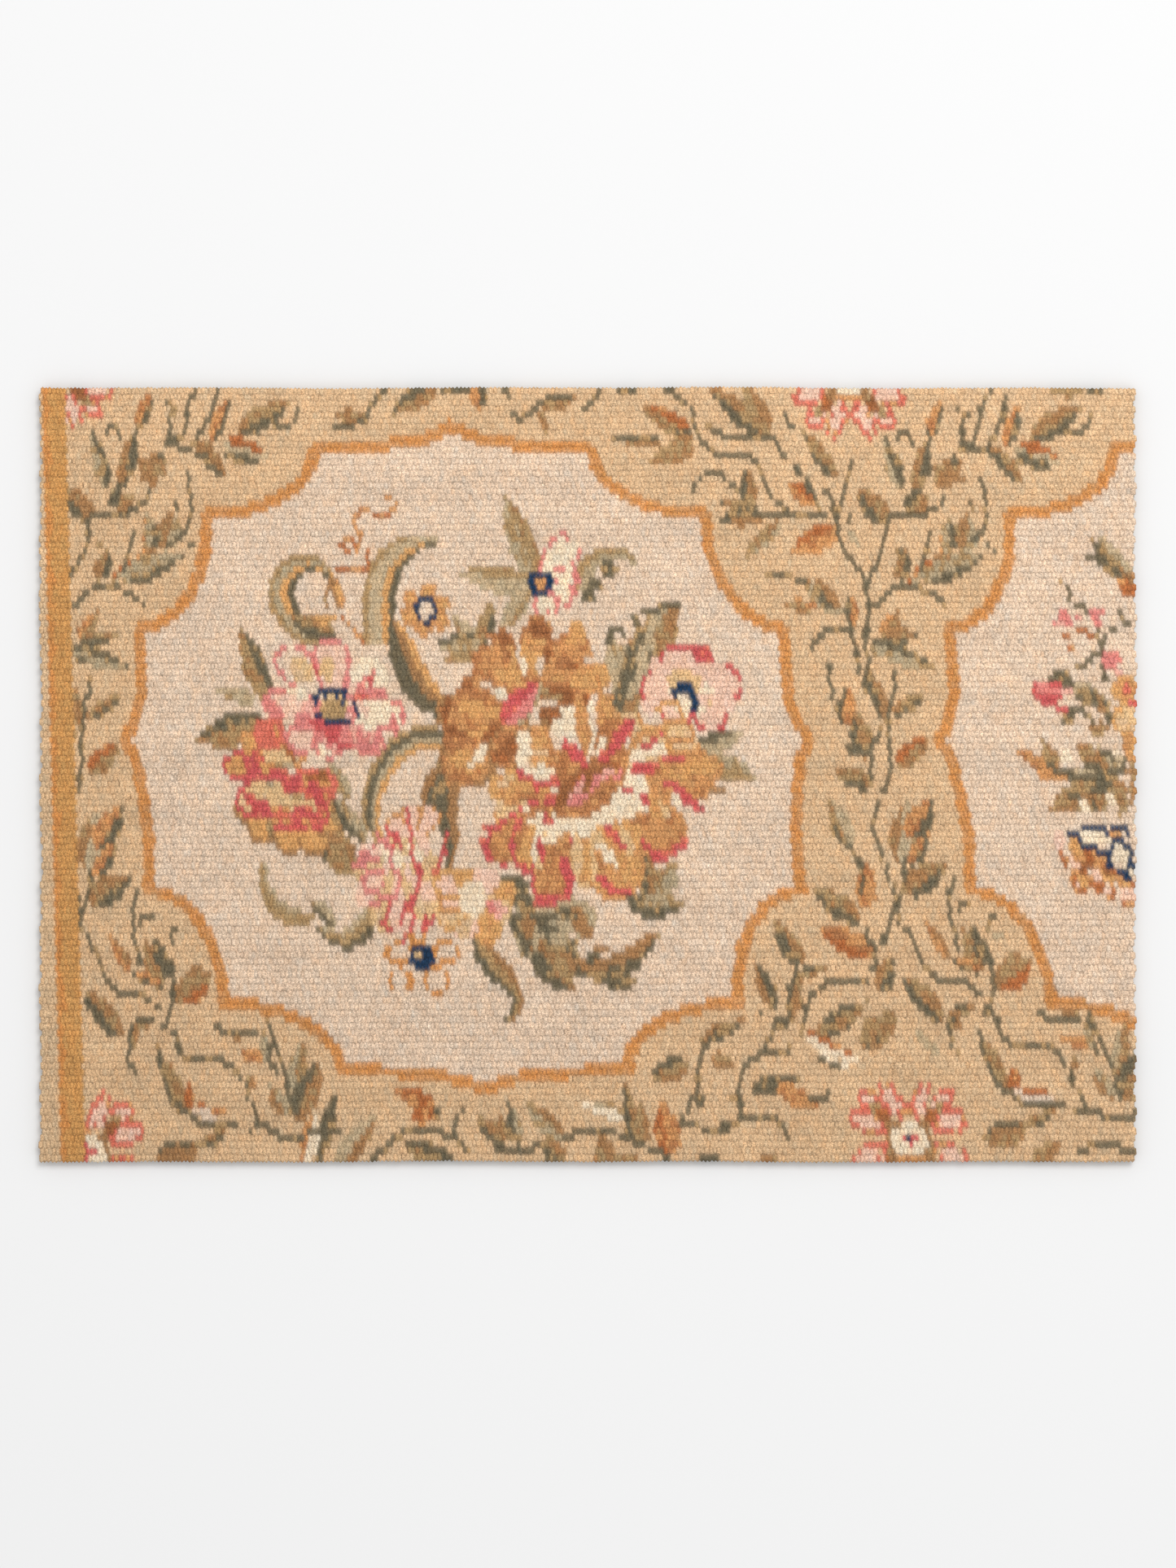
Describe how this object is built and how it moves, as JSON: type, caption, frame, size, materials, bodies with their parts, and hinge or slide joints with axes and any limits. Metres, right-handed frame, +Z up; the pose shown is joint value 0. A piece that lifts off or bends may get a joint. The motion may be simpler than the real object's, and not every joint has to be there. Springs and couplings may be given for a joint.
{
  "type": "hand-knotted wool rug length",
  "caption": "Flat cut length of thick knotted wool rug, a rectangle with ribbed pile rows and cut edges, laid on a floor pile up.",
  "frame": {"origin": "middle of the flat underside", "axes": "+X along the weft, the long side of the cut; +Y along the warp, up in the picture; +Z up out of the pile"},
  "size_m": [0.8399, 0.5918, 0.008],
  "materials": {
    "wool_pile": "clipped matt wool pile in ivory, sand, gold, caramel, sage, rust, rose and navy yarns"
  },
  "bodies": {
    "root": {"knotted_rug": "wool_pile"}
  },
  "joints": []
}
